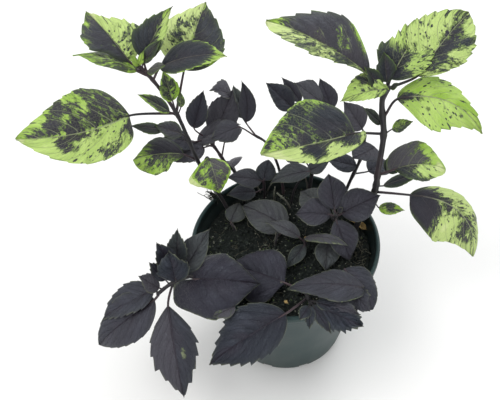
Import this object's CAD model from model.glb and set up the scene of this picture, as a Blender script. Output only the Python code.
import math

import bpy
import numpy as np
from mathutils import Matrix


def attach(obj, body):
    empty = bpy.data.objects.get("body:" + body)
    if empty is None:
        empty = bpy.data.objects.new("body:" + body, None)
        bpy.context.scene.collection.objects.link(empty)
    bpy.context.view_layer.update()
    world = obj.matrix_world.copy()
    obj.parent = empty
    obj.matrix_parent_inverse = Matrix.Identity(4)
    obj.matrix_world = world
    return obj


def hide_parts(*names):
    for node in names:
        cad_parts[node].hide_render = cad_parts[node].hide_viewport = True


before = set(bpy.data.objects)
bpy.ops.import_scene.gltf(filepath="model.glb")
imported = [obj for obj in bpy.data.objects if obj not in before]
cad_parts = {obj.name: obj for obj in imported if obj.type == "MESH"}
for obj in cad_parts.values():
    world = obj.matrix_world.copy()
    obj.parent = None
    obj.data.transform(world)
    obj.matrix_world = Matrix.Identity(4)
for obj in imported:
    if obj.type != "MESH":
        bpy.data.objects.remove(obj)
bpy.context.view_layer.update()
print("frame loaded")

mm = 0.001

shot = {"place": (0, -0.381, 0.583), "tilt": 42.1, "lens": 54.72, "shift": -0.0712, "near": 0.01, "far": 20}

studio = {
    "floorSize": 6.0, "floorTone": (0.92, 0.92, 0.915), "skyTone": (1.0, 1.0, 1.0), "skyStrength": 0.88,
    "aimHeight": 0.15,
    "lamps": {
        "keyLamp": {"place": (-0.7, -0.5, 1.5), "size": 0.9, "power": 9, "tone": (1.0, 0.99, 0.97)},
        "backLamp": {"place": (0.6, 0.9, 1.3), "size": 0.9, "power": 7, "tone": (0.97, 0.99, 1.0)},
    },
}


# An object with this name and data, put into the scene.
def addObject(name, data):
    made = bpy.data.objects.new(name, data)
    bpy.context.scene.collection.objects.link(made)
    return made


# An object whose mesh has these points, in metres, and these faces.
def addMesh(name, points, faces):
    mesh = bpy.data.meshes.new(name)
    mesh.from_pydata(points, [], faces)
    return addObject(name, mesh)


# The photo's own camera: at the fitted place, tilted from straight down by tilt degrees about X; the angle of view
# is 2 atan(18 / lens) and the picture's centre is moved by shift of its width.
def addCamera():
    camera = bpy.data.cameras.new("photoCamera")
    camera.sensor_width, camera.lens, camera.shift_x = 36, shot["lens"], shot["shift"]
    camera.clip_start, camera.clip_end = shot["near"], shot["far"]
    holder = addObject("photoCamera", camera)
    holder.location = shot["place"]
    holder.rotation_euler = (math.radians(shot["tilt"]), 0, 0)
    bpy.context.scene.camera = holder
    bpy.context.scene.view_settings.view_transform = "Standard"  # plain colours, white stays white


# An even sky, soft round lamps turned to a point above the middle (yaw = atan2(y, x),
# drop = atan2(-z, level distance)), and a plain pale floor at height 0.
def addStudio():
    world = bpy.data.worlds.new("paleSky")
    world.use_nodes = True
    sky = world.node_tree.nodes["Background"].inputs
    feedAll(sky, {"Color": studio["skyTone"], "Strength": studio["skyStrength"]})
    bpy.context.scene.world = world
    for name, lamp in studio["lamps"].items():
        light = bpy.data.lights.new(name, "AREA")
        light.shape, light.size = "DISK", lamp["size"]
        light.energy, light.color = lamp["power"], lamp["tone"]
        holder = addObject(name, light)
        holder.location = lamp["place"]
        x, y, z = np.array([0, 0, studio["aimHeight"]]) - np.array(lamp["place"])
        yaw, drop = math.atan2(y, x), math.atan2(-z, math.hypot(x, y))
        holder.rotation_euler = (math.pi / 2 - drop, 0, yaw - math.pi / 2)
    half = studio["floorSize"] / 2
    floor = addMesh("floor", [(-half, -half, 0), (half, -half, 0), (half, half, 0), (-half, half, 0)], [(0, 1, 2, 3)])
    finish = {"Base Color": studio["floorTone"], "Roughness": 0.9, "Specular IOR Level": 0.1}
    floor.data.materials.append(newMaterial("paleFloor", finish)[0])


# A value inside a material's nodes: + - * / and abs each add one Math node, so a sum is written as usual.
class nodeValue:
    def __init__(self, socket):
        self.socket, self.tree = socket, socket.id_data

    def __add__(self, other):
        return maths("ADD", self, other)

    def __sub__(self, other):
        return maths("SUBTRACT", self, other)

    def __mul__(self, other):
        return maths("MULTIPLY", self, other)

    def __truediv__(self, other):
        return maths("DIVIDE", self, other)

    def __abs__(self):
        return maths("ABSOLUTE", self)


# A node's value is linked to a socket; a plain number, vector or colour (red, green, blue) becomes its own value.
def feed(socket, value):
    if isinstance(value, nodeValue):
        value.tree.links.new(value.socket, socket)
    else:
        socket.default_value = (*value, 1) if socket.type == "RGBA" else value


# Each socket named is fed with what is given for it.
def feedAll(sockets, given):
    for label, value in given.items():
        feed(sockets[label], value)


# One node of a kind with its settings made and its inputs fed; the outputs asked for, or else its first.
def addNode(tree, kind, inputs, *outputs, **settings):
    node = tree.nodes.new("ShaderNode" + kind)
    for label, value in settings.items():
        setattr(node, label, value)
    feedAll(node.inputs, inputs)
    made = [nodeValue(node.outputs[output]) for output in outputs or (0,)]
    return made if len(made) > 1 else made[0]


# One step of arithmetic on numbers: operation(values).
def maths(operation, *values):
    return addNode(values[0].tree, "Math", dict(enumerate(values)), operation=operation)


# A smooth ramp: with s = (value - low) / (high - low) held in 0 to 1, first + (last - first) s s (3 - 2 s).
def ramp(value, low, high, first=0.0, last=1.0):
    ends = {"Value": value, "From Min": low, "From Max": high, "To Min": first, "To Max": last}
    return addNode(value.tree, "MapRange", ends, interpolation_type="SMOOTHSTEP")


# Layers of (share, colour) over a first colour: each time below (1 - share) + colour share.
def layered(below, *layers):
    for share, colour in layers:
        below = addNode(share.tree, "Mix", {0: share, 6: below, 7: colour}, 2, data_type="RGBA")
    return below


# A vector times another, part by part, plus a third.
def stretched(vector, by, plus=(0, 0, 0)):
    return addNode(vector.tree, "VectorMath", {0: vector, 1: by, 2: plus}, operation="MULTIPLY_ADD")


# Smooth noise of about 0 to 1 at vector times scale; each further octave is twice as fine and rough as strong.
def noiseOf(vector, scale, detail, rough, distortion=0.0):
    sockets = {"Vector": vector, "Scale": scale, "Detail": detail, "Roughness": rough, "Distortion": distortion}
    return addNode(vector.tree, "TexNoise", sockets, "Fac")


# A vector's three parts.
def partsOf(vector):
    return addNode(vector.tree, "SeparateXYZ", {0: vector}, "X", "Y", "Z")


# The vector stored under a name at each point of the mesh.
def attributeOf(tree, name):
    return addNode(tree, "Attribute", {}, "Vector", attribute_name=name)


# The point in the object's own metres.
def objectPlace(tree):
    return addNode(tree, "TexCoord", {}, "Object")


# A material with one Principled shader whose sockets are fed: the material, its tree and the shader's sockets.
def newMaterial(name, sockets):
    material = bpy.data.materials.new(name)
    material.use_nodes = True
    shader = material.node_tree.nodes["Principled BSDF"].inputs
    feedAll(shader, sockets)
    return material, material.node_tree, shader


# The shader's colour and roughness, and a normal tilted as by a surface raised by height times depth millimetres.
def dress(shader, colour, roughness, height, depth, strength=1.0):
    relief = {"Strength": strength, "Distance": depth * mm, "Height": height}
    feedAll(shader, {"Base Color": colour, "Roughness": roughness, "Normal": addNode(height.tree, "Bump", relief)})


# A node group with named inputs and outputs of the given kinds: its tree, input values and output sockets.
def newGroup(name, inputs, outputs):
    tree = bpy.data.node_groups.new(name, "ShaderNodeTree")
    for way, sockets in (("INPUT", inputs), ("OUTPUT", outputs)):
        for label, kind in sockets.items():
            tree.interface.new_socket(label, in_out=way, socket_type="NodeSocket" + kind)
    given = tree.nodes.new("NodeGroupInput").outputs
    return tree, [nodeValue(given[label]) for label in inputs], tree.nodes.new("NodeGroupOutput").inputs


# Midrib and side veins of a blade. Place is (u from -1 to 1, t from 0 to 1, seed), Span is
# (millimetres from the midrib, vein phase, length in millimetres); a side vein runs where the phase is a half.
# Flow is (millimetres across, millimetres along) with 0.4 of the veins' slant, for patterns that follow them.
def veinGroup():
    tree, (place, span, count), made = newGroup(
        "leafVeins", {"Place": "Vector", "Span": "Vector", "Count": "Float"},
        {"Midrib": "Float", "Veins": "Float", "Net": "Float", "Flow": "Vector"})
    u, t, seed = partsOf(place)
    across, phase, length = partsOf(span)
    scale = ramp(length, 10, 75, 0.35, 1)
    wide = scale * (t * -0.5 + 0.85)
    thin = scale * (abs(u) * -0.35 + 0.72)
    apart = abs(maths("FRACT", phase) - 0.5) * length / count
    along = phase * length / count * 0.4 + t * length * 0.6
    lift = seed * 97 + maths("GREATER_THAN", u, 0) * 13  # each leaf, and each half of it, is elsewhere in the noise
    flow = addNode(tree, "CombineXYZ", {"X": across, "Y": along, "Z": lift})
    net = addNode(tree, "TexVoronoi", {"Vector": flow, "Scale": 0.55}, "Distance", feature="DISTANCE_TO_EDGE")
    feedAll(made, {"Midrib": ramp(abs(across), wide * 0.35, wide, 1, 0), "Veins": ramp(apart, thin * 0.2, thin, 1, 0),
                   "Net": ramp(net, 0, 0.12, 1, 0), "Flow": flow})
    return tree


blotchForm = {
    "broad": ((0.08, 0.11, 1), (0, 0, 0), 4.2, 1, 0.5),  # stretch of the flow, shift, strength, detail, roughness
    "patch": ((0.2, 0.3, 1), (3, 7, 2), 3, 2, 0.55),
    "fine": ((1.3, 1.6, 1), (9, 1, 4), 3.6, 2, 0.6),
    "halo": ((0.4, 0.6, 1), (5, 2, 8), 3.2, 2, 0.55),
    "largeCells": (0.36, 0.44, 1), "smallCells": (0.95, 1.15, 1), "warp": (0.8, 0.8, 0),
}


# Ragged blotches that follow the side veins: broad, middling and fine noise and a value per small warped cell
# are added to Tone, and the leaf is dark where the sum is above 0. Olive is the softer green around the dark,
# Spots are scattered round dots.
def blotchGroup():
    tree, (flow, tone), made = newGroup("leafBlotches", {"Flow": "Vector", "Tone": "Float"},
                                        {"Dark": "Float", "Olive": "Float", "Spots": "Float"})

    # (noise - a half) times strength, in the flow stretched and moved
    def layer(name):
        stretch, shift, strength, detail, rough = blotchForm[name]
        return noiseOf(stretched(flow, stretch, shift), 1, detail, rough, 0.25) * strength - strength / 2

    # a value from 0 to 1 for each cell of the stretched flow, its borders warped by noise
    def cells(name):
        place = stretched(flow, blotchForm[name])
        noise = addNode(tree, "TexNoise", {"Vector": place, "Scale": 1.6}, "Color")
        warped = stretched(noise, blotchForm["warp"], place)
        return partsOf(addNode(tree, "TexVoronoi", {"Vector": warped, "Scale": 1}, "Color"))[0]

    fine = layer("fine")
    base = layer("broad") + layer("patch") + tone
    angular = cells("largeCells") * 2.4 + cells("smallCells") * 1.1 - 1.75
    away, chance = addNode(tree, "TexVoronoi", {"Vector": flow, "Scale": 0.42}, "Distance", "Color")
    size = ramp(partsOf(chance)[0], 0.42, 1, 0, 0.4)
    feedAll(made, {"Dark": ramp(base + fine + angular, -0.14, 0.14),
                   "Olive": ramp(base + layer("halo") + angular * 0.5 + 0.75, -0.7, 0.7),
                   "Spots": ramp(size - away + fine * 0.09, 0, 0.07)})
    return tree


leafLooks = {
    "variegatedLeaf": {
        "lime": (0.268, 0.465, 0.034), "paleLime": (0.4, 0.6, 0.105), "palest": (0.62, 0.72, 0.31),
        "olive": (0.088, 0.135, 0.03), "dark": (0.01, 0.0115, 0.0165), "darkHaze": (0.0235, 0.027, 0.0355),
        "purple": (0.038, 0.029, 0.038), "paleVein": (0.33, 0.38, 0.2), "darkVein": (0.05, 0.046, 0.054),
        "under": (0.17, 0.2, 0.12), "bloomed": (0.1, 0.088, 0.102), "greenish": (0.015, 0.017, 0.021),
        "midribTone": (0.11, 0.102, 0.088), "deep": (0.011, 0.0105, 0.015), "margin": (0.15, 0.24, 0.045),
        "dust": 0.07, "veins": 0.62, "midrib": 0.92,
    },
    "darkLeaf": {
        "lime": (0.13, 0.155, 0.08), "paleLime": (0.21, 0.235, 0.14), "palest": (0.4, 0.42, 0.3),
        "olive": (0.036, 0.044, 0.036), "dark": (0.0082, 0.0102, 0.017), "darkHaze": (0.031, 0.035, 0.05),
        "purple": (0.0265, 0.0205, 0.032), "paleVein": (0.018, 0.016, 0.02), "darkVein": (0.0105, 0.0088, 0.0135),
        "under": (0.046, 0.038, 0.05), "bloomed": (0.088, 0.08, 0.094), "greenish": (0.06, 0.07, 0.058),
        "midribTone": (0.036, 0.026, 0.036), "deep": (0.011, 0.0082, 0.0135), "margin": (0.125, 0.135, 0.085),
        "dust": 0.14, "veins": 0.24, "midrib": 0.5,
    },
}
dustTone = (0.3, 0.33, 0.36)


# Lime, olive and dark are mixed by the blotches, then the veins, the midrib and a thin pale hem are drawn over
# them; the dark turns purple near the midrib and green towards the margin. The stored tone's first part is the
# darkness, its third the millimetres to the margin; its second is 1 on the lower face, up to 1 above for a young
# leaf's greyish bloom, and below 0 for a paler lime.
def leafMaterial(name, groups):
    look = leafLooks[name]
    material, tree, shader = newMaterial(name, {"Specular IOR Level": 0.31, "Specular Tint": (0.78, 0.89, 1.0)})
    place, span, tones = [attributeOf(tree, label) for label in ("leafPlace", "leafSpan", "leafTone")]
    u, t, seed = partsOf(place)
    tone, bloom, rim = partsOf(tones)
    midrib, veins, net, flow = addNode(tree, "Group", {"Place": place, "Span": span, "Count": leafForm["veins"]},
                                       "Midrib", "Veins", "Net", "Flow", node_tree=groups["veins"])
    blotches, olive, spots = addNode(tree, "Group", {"Flow": flow, "Tone": tone}, "Dark", "Olive", "Spots",
                                     node_tree=groups["blotches"])
    haze = noiseOf(stretched(flow, (0.07, 0.1, 1)), 1, 3, 0.55)
    other = noiseOf(stretched(flow, (0.06, 0.08, 1), (4, 9, 1)), 1, 2, 0.5)
    grain = noiseOf(flow, 1.3, 2, 0.6)
    speck = noiseOf(stretched(flow, (2.6, 2.6, 1)), 1, 2, 0.7)
    lime = layered(look["lime"], (ramp(haze, 0.36, 0.62), look["paleLime"]), (bloom * -1, look["palest"]),
                   (ramp(tone, -2.8, -3.6), look["palest"]))
    dark = layered(look["dark"], (ramp(haze, 0.42, 0.68), look["darkHaze"]), (grain * 0.3, look["darkHaze"]),
                   (ramp(abs(u), 0.75, 0) * ramp(other, 0.4, 0.66) * 0.8, look["purple"]),
                   (ramp(seed, 0.45, 1, 0, 0.6), look["purple"]),
                   (ramp(seed, 0.3, 0) * ramp(haze, 0.3, 0.6, 0.35, 0.9), look["greenish"]),
                   (ramp(abs(u), 0.6, 0) * ramp(t, 0.75, 0.05) * 0.6, look["deep"]),
                   (ramp(rim, 5, 0) * 0.25, look["olive"]), (bloom * 0.72, look["bloomed"]))
    share = maths("MAXIMUM", blotches, spots * ramp(tone, -3.6, -2.6))
    darkened = maths("MAXIMUM", ramp(tone, 1, 2.4), share * 0.3)
    vein = layered(look["paleVein"], (darkened, look["darkVein"]))
    rib = layered(look["paleVein"], (darkened, look["midribTone"]))
    colour = layered(lime, (olive * 0.9, look["olive"]), (share, dark), (net * 0.2, vein),
                     (veins * look["veins"], vein), (midrib * look["midrib"], rib),
                     (ramp(rim, 0.9, 0) * ramp(other, 0.4, 0.66, 0.05, 0.75), look["margin"]),
                     (ramp(speck, 0.56, 0.72) * look["dust"], dustTone), (ramp(bloom, 0.9, 1, 0, 0.45), look["under"]))
    height = haze * 4.2 + grain * 0.4 - net * 0.2 - veins * 0.3 - midrib * 0.6
    dress(shader, colour, ramp(grain, 0.3, 0.75, 0.33, 0.5), height, 0.6)
    return material


stemLook = {"dark": (0.0125, 0.0105, 0.0145), "red": (0.046, 0.024, 0.032), "green": (0.04, 0.044, 0.028)}


# Long streaks run up the stem: nearly black, with red and a little green coming through; leaf stalks, where the
# stored tone's second part is 1, are redder.
def stemMaterial():
    material, tree, shader = newMaterial("basilStem", {"Specular IOR Level": 0.42, "Sheen Weight": 0.08})
    place, stalk = objectPlace(tree), partsOf(attributeOf(tree, "leafTone"))[1]
    streak = noiseOf(stretched(place, (900, 900, 90)), 1, 3, 0.6)
    redness = noiseOf(place, 28, 2, 0.5) + stalk * 0.11
    colour = layered(stemLook["dark"], (ramp(redness, 0.5, 0.72), stemLook["red"]),
                     (ramp(streak, 0.5, 0.72) * 0.5, stemLook["green"]))
    dress(shader, colour, ramp(streak, 0.3, 0.7, 0.4, 0.6), streak, 0.2, 0.6)
    return material


potLook = {"plastic": (0.0108, 0.026, 0.0268), "cloud": (0.0158, 0.0355, 0.0362), "dust": (0.06, 0.066, 0.056),
           "soiled": (0.01, 0.014, 0.0135)}


# Smooth moulded plastic: a faint cloudiness, a fine satin grain, a little soil dust low down, and a soiled inside
# (where the normal points to the axis: normal x times x plus normal y times y is below 0).
def potMaterial():
    material, tree, shader = newMaterial("greenPlastic", {"Specular IOR Level": 0.42,
                                                          "Specular Tint": (0.82, 1.0, 0.98)})
    place = objectPlace(tree)
    x, y, z = partsOf(place)
    facing = partsOf(addNode(tree, "NewGeometry", {}, "Normal"))
    broad, fine, speck = noiseOf(place, 18, 2, 0.5), noiseOf(place, 240, 3, 0.6), noiseOf(place, 1500, 2, 0.6)
    inside = maths("LESS_THAN", facing[0] * x + facing[1] * y, -0.02) * ramp(z, 0.1146, 0.1125)
    colour = layered(potLook["plastic"], (ramp(broad, 0.35, 0.7), potLook["cloud"]),
                     (ramp(z, 0.012, 0) * ramp(fine, 0.35, 0.7, 0.1, 0.5), potLook["dust"]),
                     (inside * ramp(fine, 0.3, 0.62, 0.75, 1), potLook["soiled"]),
                     (ramp(fine, 0.58, 0.72) * 0.22, potLook["dust"]))
    dress(shader, colour, ramp(broad, 0.3, 0.75, 0.36, 0.5), speck, 0.05, 0.5)
    return material


# Two tones, coarse and fine grains per metre, depth in millimetres; then the roughness and where the second tone
# sets in.
earthLooks = {
    "dampSoil": ((0.0105, 0.014, 0.0126), (0.088, 0.108, 0.086), 480, 1700, 1.4, 0.95, (0.55, 0.74)),
    "soilCrumb": ((0.0125, 0.0165, 0.0148), (0.165, 0.188, 0.142), 240, 1700, 0.5, 0.95, (0.54, 0.7)),
    "paleGrit": ((0.36, 0.36, 0.3), (0.15, 0.16, 0.12), 420, 2600, 0.2),
    "moss": ((0.05, 0.075, 0.03), (0.13, 0.16, 0.07), 420, 2600, 0.3),
    "rootThread": ((0.055, 0.054, 0.042), (0.17, 0.162, 0.12), 220, 2000, 0.1),
    "paleStalk": ((0.1, 0.096, 0.086), (0.21, 0.22, 0.17), 160, 1500, 0.1, 0.6),
    "witheredLeaf": ((0.44, 0.31, 0.12), (0.19, 0.13, 0.065), 260, 1500, 0.2, 0.7),
}


# A rough earthy finish: the first tone, the second where coarse noise is high, and specks of the first again.
def earthMaterial(name, first, second, coarse, fine, depth, rough=0.95, rarity=(0.38, 0.64)):
    material, tree, shader = newMaterial(name, {"Specular IOR Level": 0.25})
    place = objectPlace(tree)
    broad, grit = noiseOf(place, coarse, 4, 0.65), noiseOf(place, fine, 3, 0.7)
    colour = layered(first, (ramp(broad, *rarity), second), (grit * 0.5, first))
    dress(shader, colour, rough, grit * 0.5 + broad, depth)
    return material


# A vector over its length, so that its length is 1.
def unit(v):
    return v / np.maximum(np.linalg.norm(v, axis=-1, keepdims=True), 1e-9)


# All the shells go into one mesh in metres: each shell's face numbers are moved on by the count of points before
# it. Edges that bend by more than sharpAt degrees stay sharp. The piece rides the one body and takes its slot.
def makePiece(name, shells, materials, slotName, replaced=(), sharpAt=50):
    starts = np.cumsum([0] + [len(s["points"]) for s in shells])
    faces, slots = [], []
    for start, shell in zip(starts, shells):
        for block in shell["faces"]:
            faces += (block + start).tolist()
            slots += [shell.get("slot", 0)] * len(block)
    piece = addMesh(name, np.concatenate([s["points"] for s in shells]) * mm, faces)
    mesh = piece.data
    for material in materials:
        mesh.materials.append(material)
    mesh.polygons.foreach_set("material_index", np.array(slots, np.int32))
    for label in ("leafPlace", "leafSpan", "leafTone"):
        values = np.concatenate([s.get(label, np.zeros(s["points"].shape)) for s in shells]).astype(np.float32)
        if values.any():
            mesh.attributes.new(label, "FLOAT_VECTOR", "POINT").data.foreach_set("vector", values.ravel())
    mesh.shade_smooth()
    mesh.set_sharp_from_angle(angle=math.radians(sharpAt))
    mesh.update()
    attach(piece, "root")
    if replaced:
        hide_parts(*replaced)
    print(f"{name}: {sum(len(f) - 2 for f in faces)} triangles")
    return piece


# Faces round a shell of rings with a pole at each end: quads between each ring and the next, and triangles to the
# poles, which are the two points after the rings. They are turned round where the rings run inside out.
def ringFaces(rings, sides, turned=False):
    j = np.arange(sides)
    k = (j + 1) % sides
    ring = (np.arange(rings - 1) * sides)[:, None]
    last, pole = (rings - 1) * sides, np.full(sides, rings * sides)
    quads = np.stack([ring + j, ring + k, ring + sides + k, ring + sides + j], -1).reshape(-1, 4)
    foot, head = np.stack([pole, k, j], -1), np.stack([pole + 1, last + j, last + k], -1)
    return [quads[:, [0, 3, 2, 1]], foot[:, [0, 2, 1]], head[:, [0, 2, 1]]] if turned else [quads, foot, head]


# A smooth path through the points: centripetal Catmull-Rom, each stretch a cubic, sampled about every step.
def smoothPath(points, step=2.5):
    p = np.array(points, float)
    p = np.concatenate([[2 * p[0] - p[1]], p, [2 * p[-1] - p[-2]]])
    gap = np.maximum(np.linalg.norm(np.diff(p, axis=0), axis=1) ** 0.5, 1e-3)
    pieces = []
    for i in range(1, len(p) - 2):
        a, b, c = gap[i - 1], gap[i], gap[i + 1]
        leave = ((p[i] - p[i - 1]) / a - (p[i + 1] - p[i - 1]) / (a + b) + (p[i + 1] - p[i]) / b) * b
        reach = ((p[i + 1] - p[i]) / b - (p[i + 2] - p[i]) / (b + c) + (p[i + 2] - p[i + 1]) / c) * b
        count = max(2, math.ceil(np.linalg.norm(p[i + 1] - p[i]) / step))
        s = np.linspace(0, 1, count, endpoint=False)[:, None]
        bend = -3 * p[i] + 3 * p[i + 1] - 2 * leave - reach
        turn = 2 * p[i] - 2 * p[i + 1] + leave + reach
        pieces.append(p[i] + leave * s + bend * s**2 + turn * s**3)
    return np.concatenate(pieces + [p[-2:-1]])


# A round tube along a path: each ring is centre + radius (side cos a + up sin a), closed to a point at each end.
# square above 0 draws the ring out towards four rounded corners, as a basil stem's is.
def tubeShell(path, radius, sides=8, square=0.0, slot=1, red=0.0):
    count = len(path)
    radius = np.broadcast_to(np.asarray(radius, float), (count,))
    ahead = unit(np.gradient(path, axis=0))
    flattest = int(np.argmin(np.abs(unit(path[-1] - path[0]))))
    side = unit(np.cross(ahead, np.eye(3)[flattest]))
    up = np.cross(ahead, side)
    angle = np.linspace(0, 2 * np.pi, sides, endpoint=False)
    reach = radius[:, None] * (1 + square * np.cos(4 * angle)[None, :])
    rings = path[:, None] + reach[..., None] * (side[:, None] * np.cos(angle)[None, :, None]
                                                + up[:, None] * np.sin(angle)[None, :, None])
    points = np.concatenate([rings.reshape(-1, 3), path[:1] - ahead[:1] * radius[0] * 0.5,
                             path[-1:] + ahead[-1:] * radius[-1] * 0.5])
    return {"points": points, "faces": ringFaces(count, sides), "slot": slot,
            "leafTone": np.tile([0, red, 0], (len(points), 1))}


leafForm = {
    "thickness": 0.42, "veins": 6.0, "lean": 0.46, "facing": (0, -0.3, 1), "stalk": 0.85,
    "groove": 0.012, "ribHeight": 0.9, "ribWidth": 0.8, "fewBelow": 14,
    "longFrom": 30, "longTeeth": 7, "shortTeeth": 5,
    "firstTooth": 0.13, "lastTooth": 0.965, "toothRows": 8, "toothPeak": 0.87, "toothSizes": (0.6, 1.25),
    "columns": (0, 0.05, 0.12, 0.22, 0.34, 0.46, 0.58, 0.7, 0.8, 0.9, 1.0),
    "fewColumns": (0, 0.1, 0.28, 0.5, 0.72, 0.86, 1.0),
}

# What a leaf is like unless it says otherwise. Millimetres and degrees: roll about its length, arch up and sweep
# aside of the midrib, fold of the halves. Shares of the half width or width: curl down, puff, pucker, wave,
# toothDepth; of the length: droop of the tip, lobe of the heel. heel and point are the outline's roundness at its
# ends (high is slim), belly places its widest part, wideLeft and wideRight scale each half along it, and sharp
# shapes the teeth. tone is the darkness (-3 lime to 3 dark), with left and right added on each half, tipTone
# towards the tip, rimTone within rim of the margin, and marks (t, u, size, strength). bloom is greyish above 0 and
# a paler lime below. A leaf may also give hue (0 greenish to 1 purple, else random), its number of teeth, and via,
# the points that its stalk passes. A pair is (left, right).
usualLeaf = dict(
    via=(), roll=0, arch=0, sweep=0, fold=0, curl=0.08, droop=0.02, puff=0.018, pucker=0.015, wave=0.02,
    heel=0.75, belly=0.72, point=1.2, lobe=0, wideLeft=(1, 1), wideRight=(1, 1), toothDepth=0.03, sharp=1,
    tone=3, left=0, right=0, tipTone=0, rimTone=0, rim=1.5, marks=(), bloom=0)


# A leaf's values: the foot of its stalk, its blade's base and tip, its width, and what else it says.
def leafOf(foot, base, tip, width, **more):
    return dict(foot=foot, base=base, tip=tip, width=width, **more)


# Rows along a leaf: dense at its round base, toothRows to a tooth, then on to the tip.
def rowsAlong(teeth):
    start, end, count = leafForm["firstTooth"], leafForm["lastTooth"], leafForm["toothRows"]
    base = start * (np.arange(8) / 8) ** 2
    toothed = start + (end - start) * np.arange(count * teeth + 1) / (count * teeth)
    return np.concatenate([base, toothed, [0.985, 1.0]])


# A smooth curve through values spread evenly from 0 to 1: cosine steps from each value to the next.
def curveThrough(values, t):
    values = np.array(values, float)
    place = t * (len(values) - 1)
    i = np.minimum(place.astype(int), len(values) - 2)
    s = 0.5 - 0.5 * np.cos(np.pi * (place - i))
    return values[i] * (1 - s) + values[i + 1] * s


# One value for both halves of a leaf, or a pair, as (left, right).
def pair(value):
    return np.broadcast_to(np.array(value, float), (2,))


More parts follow.
